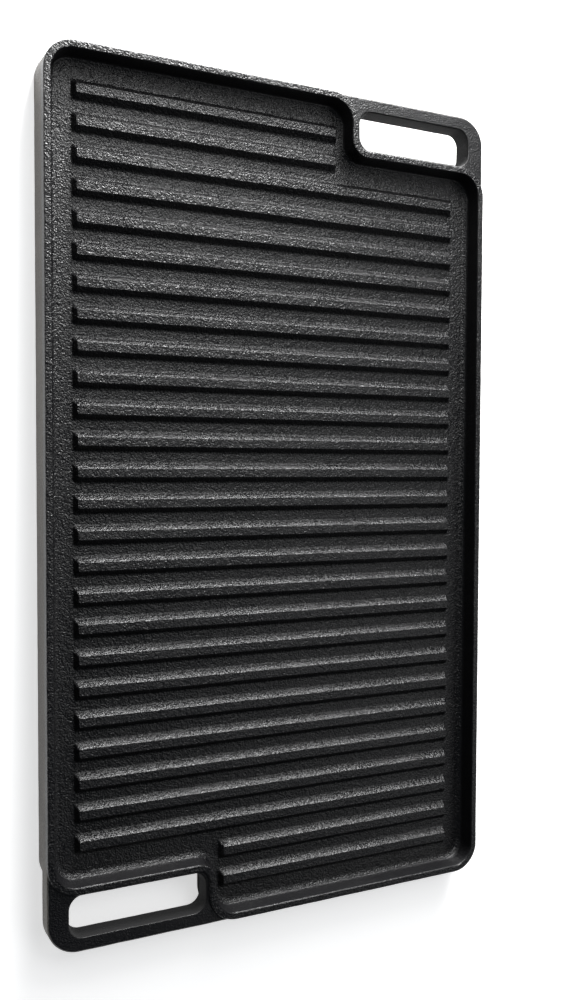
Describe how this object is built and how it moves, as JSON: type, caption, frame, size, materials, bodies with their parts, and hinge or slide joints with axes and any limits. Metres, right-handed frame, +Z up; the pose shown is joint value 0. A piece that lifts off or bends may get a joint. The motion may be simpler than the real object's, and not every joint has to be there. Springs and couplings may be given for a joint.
{
  "type": "reversible cast iron grill plate",
  "caption": "One-piece rectangular cast iron grill plate: raised rim around a ribbed cooking face, loop handles at two opposite corners, smooth griddle face underneath.",
  "frame": {"origin": "on the resting plane, under the middle of the plate, with the ribbed side up", "axes": "+X across the plate and along the ribs, +Y along the plate, +Z up out of the ribbed side; the handles are at the +X +Y corner and the -X -Y corner"},
  "size_m": [0.2506, 0.4336, 0.018],
  "materials": {
    "seasoned_iron": "fine pebbled as-cast surface with a baked-on oil seasoning, dark grey to black, low satin sheen"
  },
  "bodies": {
    "root": {"grill_plate_casting": "seasoned_iron"}
  },
  "joints": []
}
